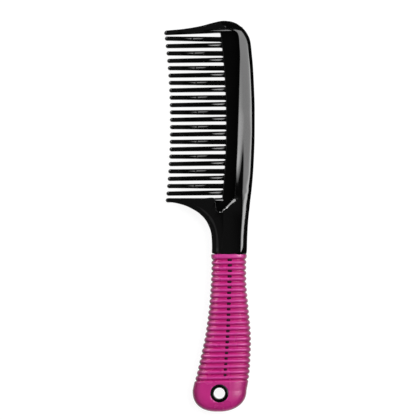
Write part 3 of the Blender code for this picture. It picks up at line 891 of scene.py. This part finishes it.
def makeGrip():
    handle = gripLoft()
    ribs = handle.modifiers.new("ribs", "NODES")
    ribs.node_group = ribTree()
    setInputs(ribs, {
        "First Groove Y": grip["firstGroove"] * mm, "Pitch": grip["pitch"] * mm,
        "Ribs": float(grip["ribs"]), "Face Depth": grip["faceDepth"] * mm,
        "Edge Depth": grip["edgeDepth"] * mm, "Notch": grip["notch"],
        "Pad Edge": grip["padEdge"], "Slant": grip["slant"],
        "Slant Middle X": grip["slantMiddleX"] * mm, "Pad Shade": grip["padShade"],
        "Finish": magenta})
    handle = bake(handle, "gripHandle", magenta)
    radius, sides = ringRadius + grip["holeClearance"], grip["holeSides"]
    angles = [2 * math.pi * k / sides for k in range(sides)]
    hole = loft("hole", [
        [(holeX + radius * math.cos(a), holeY + radius * math.sin(a), z) for a in angles]
        for z in (-grip["holeReach"], grip["holeReach"])])
    cut = handle.modifiers.new("hole", "BOOLEAN")
    cut.operation = "DIFFERENCE"
    cut.solver = "EXACT"
    cut.object = hole
    made = bake(handle, "grip_skin")
    bpy.data.objects.remove(hole, do_unlink=True)
    return made


combGrip = makeGrip()
print("grip:", len(combGrip.data.polygons), "faces")


# Keel: the ridge of the black core, which just breaks through the floors of the grooves

keel = {
    # y and x along its middle
    "line": ((-22.0, 11.2), (-31.0, 11.3), (-49.0, 10.75), (-61.0, 10.4), (-74.0, 9.65),
             (-90.5, 8.55)),
    "halfWidths": (1.5, 1.05),   # at its two ends
    "belowCrown": 0.4,
    "steps": 10,
    "sides": 28,
    "power": 7.0,                # of its boxy section
}


def makeKeel():
    rows = smoothRows(keel["line"], keel["steps"])
    outline = gripRows()
    wide, narrow = keel["halfWidths"]
    section = superellipse(keel["sides"], keel["power"])
    rings = []
    for y, x in rows:
        along = (y - rows[0][0]) / (rows[-1][0] - rows[0][0])
        half = wide + (narrow - wide) * along
        crest = valueAt(outline, y, 3) - keel["belowCrown"]
        rings.append([(x + half * c, y, crest * s) for c, s in section])
    return loft("grip_keel", rings, material=coreBlack)


combKeel = makeKeel()
print("keel:", len(combKeel.data.polygons), "faces")


# Eyelet: a turned ring with rounded lips

eyelet = {"boreRadius": 3.15, "lip": 0.45, "steps": 128, "lipSteps": 6}


def makeEyelet():
    outer, inner, top, lip = ringRadius, eyelet["boreRadius"], ringHalfLength, eyelet["lip"]
    profile = []
    for cornerX, cornerZ, start in ((outer - lip, top - lip, 0), (inner + lip, top - lip, 1),
                                    (inner + lip, lip - top, 2), (outer - lip, lip - top, 3)):
        for k in range(eyelet["lipSteps"] + 1):
            angle = (start + k / eyelet["lipSteps"]) * math.pi / 2
            profile.append((cornerX + lip * math.cos(angle), cornerZ + lip * math.sin(angle)))
    rings = []
    for k in range(eyelet["steps"]):
        angle = 2 * math.pi * k / eyelet["steps"]
        rings.append([(holeX + r * math.cos(angle), holeY + r * math.sin(angle), z)
                      for r, z in profile])
    return loft("eyelet_ring", rings, closed=True, material=black)


combEyelet = makeEyelet()
print("eyelet ready")

for piece, slot in ((combHead, "body"), (combTeeth, "body"), (combKeel, "body"),
                    (combGrip, "grip"), (combEyelet, "eyelet")):
    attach(piece, "root")
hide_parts("comb_body")
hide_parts("comb_body")
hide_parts("comb_body")
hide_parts("grip_sleeve")
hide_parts("hang_eyelet")


# Floor, world, lamps and camera

studio = {
    "floorSize": 6.0,
    "floorColour": "#F2F2F2",
    "floorRoughness": 0.9,
    "floorShown": "#606060",      # what the camera and mirrors see of its shading, over the lift
    "floorLift": 0.92,
    "white": "#FFFFFF",
    "worldFill": 0.1,
    # what polished faces see of the room above: darker on the right; it changes between
    # these directions along X, and starts between these along Z
    "ceiling": (0.1, 0.015),
    "ceilingTurn": (-0.12, -0.01),
    "ceilingFoot": (-0.03, 0.0),
    # direction by angle from the vertical and azimuth, distance in metres; the radiance
    # turns from the first value to the second across a lamp, away from the vertical
    "boxRight": {"tilt": 32.5, "azimuth": 27.0, "distance": 1.35, "size": (1.02, 1.05),
                 "radiance": (1.6, 5.4)},
    "boxBack": {"tilt": 62.0, "azimuth": 136.0, "distance": 1.2, "size": (0.36, 0.62),
                "radiance": (9.0, 9.0)},
    "boxLeft": {"tilt": 50.0, "azimuth": 192.0, "distance": 1.2, "size": (0.42, 0.9),
                "radiance": (0.4, 0.25)},
    "rampEnd": 0.3,               # part of a lamp's width over which it turns
    # the lamps are stronger near one end: by how much, and between which parts of the length
    "strongEnd": (2.1, 0.2, 0.34),
    "lens": 400.0,
    "sensor": 36.0,
    "clip": (0.01, 20.0),
    "visibleSquare": 236.5,
    "lookAt": (0.17, 3.55),
}


def shownRays(tree):
    path = addNode(tree, "ShaderNodeLightPath").outputs
    either = addNode(tree, "ShaderNodeMath", {"operation": "MAXIMUM"}, {
        0: path["Is Camera Ray"], 1: path["Is Glossy Ray"]})
    return addNode(tree, "ShaderNodeMath", {"operation": "MAXIMUM"}, {
        0: either.outputs[0], 1: path["Is Transmission Ray"]}).outputs[0]


def makeFloor():
    half = studio["floorSize"] / 2
    corners = [(-half, -half, 0), (half, -half, 0), (half, half, 0), (-half, half, 0)]
    mesh = bpy.data.meshes.new("floor")
    mesh.from_pydata(corners, [], [(0, 1, 2, 3)])
    material, tree, shader = newMaterial("paleSweepCard")
    shown = shownRays(tree)
    colour = addNode(tree, "ShaderNodeMix", {"data_type": "RGBA"}, {
        "Factor": shown,
        "A": hexColour(studio["floorColour"]), "B": hexColour(studio["floorShown"])})
    tree.links.new(colour.outputs["Result"], shader.inputs["Base Color"])
    shader.inputs["Roughness"].default_value = studio["floorRoughness"]
    shader.inputs["Emission Color"].default_value = hexColour(studio["white"])
    lift = addNode(tree, "ShaderNodeMath", {"operation": "MULTIPLY"}, {
        0: shown, 1: studio["floorLift"]})
    tree.links.new(lift.outputs[0], shader.inputs["Emission Strength"])
    floor = newObject("floor", mesh, material)


def makeWorld():
    world = bpy.data.worlds.new("studioWorld")
    bpy.context.scene.world = world
    world.use_nodes = True
    tree = world.node_tree
    tree.nodes.clear()
    # white for the camera; mirrors see it white below the horizon and a dim ceiling above
    path = addNode(tree, "ShaderNodeLightPath").outputs
    coords = addNode(tree, "ShaderNodeTexCoord")
    towards = addNode(tree, "ShaderNodeSeparateXYZ", links={0: coords.outputs["Generated"]}).outputs
    leftSide, rightSide = studio["ceiling"]
    leftEnd, rightEnd = studio["ceilingTurn"]
    floorEnd, roomEnd = studio["ceilingFoot"]
    room = addNode(tree, "ShaderNodeMapRange", {"interpolation_type": "SMOOTHSTEP"}, {
        "Value": towards["X"], "From Min": leftEnd, "From Max": rightEnd,
        "To Min": leftSide, "To Max": rightSide})
    sky = addNode(tree, "ShaderNodeMapRange", {"interpolation_type": "SMOOTHSTEP"}, {
        "Value": towards["Z"], "From Min": floorEnd, "From Max": roomEnd,
        "To Min": 1.0, "To Max": room.outputs["Result"]})
    mirrored = addNode(tree, "ShaderNodeMath", {"operation": "MAXIMUM"}, {
        0: path["Is Glossy Ray"], 1: path["Is Transmission Ray"]})
    reflected = addNode(tree, "ShaderNodeMix", {"data_type": "FLOAT"}, {
        "Factor": mirrored.outputs[0], "A": studio["worldFill"]})
    tree.links.new(sky.outputs["Result"], reflected.inputs["B"])
    strength = addNode(tree, "ShaderNodeMix", {"data_type": "FLOAT"}, {
        "Factor": path["Is Camera Ray"], "B": 1.0})
    tree.links.new(reflected.outputs["Result"], strength.inputs["A"])
    glow = addNode(tree, "ShaderNodeBackground", links={
        "Color": hexColour(studio["white"]), "Strength": strength.outputs["Result"]})
    addNode(tree, "ShaderNodeOutputWorld", links={"Surface": glow.outputs[0]})


def makeLamp(name):
    settings = studio[name]
    width, length = settings["size"]
    low, high = settings["radiance"]
    lamp = bpy.data.lights.new(name, "AREA")
    lamp.shape = "RECTANGLE"
    lamp.size, lamp.size_y = width, length
    lamp.energy = math.pi * width * length
    lamp.use_nodes = True
    tree = lamp.node_tree
    onLamp = addNode(tree, "ShaderNodeSeparateXYZ", links={
        0: addNode(tree, "ShaderNodeNewGeometry").outputs["Parametric"]}).outputs
    ramp = addNode(tree, "ShaderNodeMapRange", {"interpolation_type": "SMOOTHSTEP"}, {
        "Value": onLamp["X"], "From Max": studio["rampEnd"], "To Min": low, "To Max": high})
    most, strongTo, plainFrom = studio["strongEnd"]
    ends = addNode(tree, "ShaderNodeMapRange", {"interpolation_type": "SMOOTHSTEP"}, {
        "Value": onLamp["Y"], "From Min": strongTo, "From Max": plainFrom,
        "To Min": most, "To Max": 1.0})
    both = addNode(tree, "ShaderNodeMath", {"operation": "MULTIPLY"}, {
        0: ramp.outputs["Result"], 1: ends.outputs["Result"]})
    tree.links.new(both.outputs[0], tree.nodes["Emission"].inputs["Strength"])
    obj = bpy.data.objects.new(name, lamp)
    bpy.context.scene.collection.objects.link(obj)
    tilt, azimuth = math.radians(settings["tilt"]), math.radians(settings["azimuth"])
    obj.rotation_euler = (0, tilt, azimuth)
    obj.location = settings["distance"] * Vector((
        math.sin(tilt) * math.cos(azimuth), math.sin(tilt) * math.sin(azimuth), math.cos(tilt)))


def makeCamera():
    data = bpy.data.cameras.new("camera")
    data.lens = studio["lens"]
    data.sensor_width = studio["sensor"]
    distance = studio["visibleSquare"] * mm * studio["lens"] / studio["sensor"]
    camera = bpy.data.objects.new("camera", data)
    bpy.context.scene.collection.objects.link(camera)
    camera.location = (studio["lookAt"][0] * mm, studio["lookAt"][1] * mm, midZ + distance)
    data.clip_start, data.clip_end = studio["clip"]
    bpy.context.scene.camera = camera


makeFloor()
makeWorld()
for lampName in ("boxRight", "boxBack", "boxLeft"):
    makeLamp(lampName)
makeCamera()
bpy.context.scene.view_settings.view_transform = "Standard"
print("studio ready")
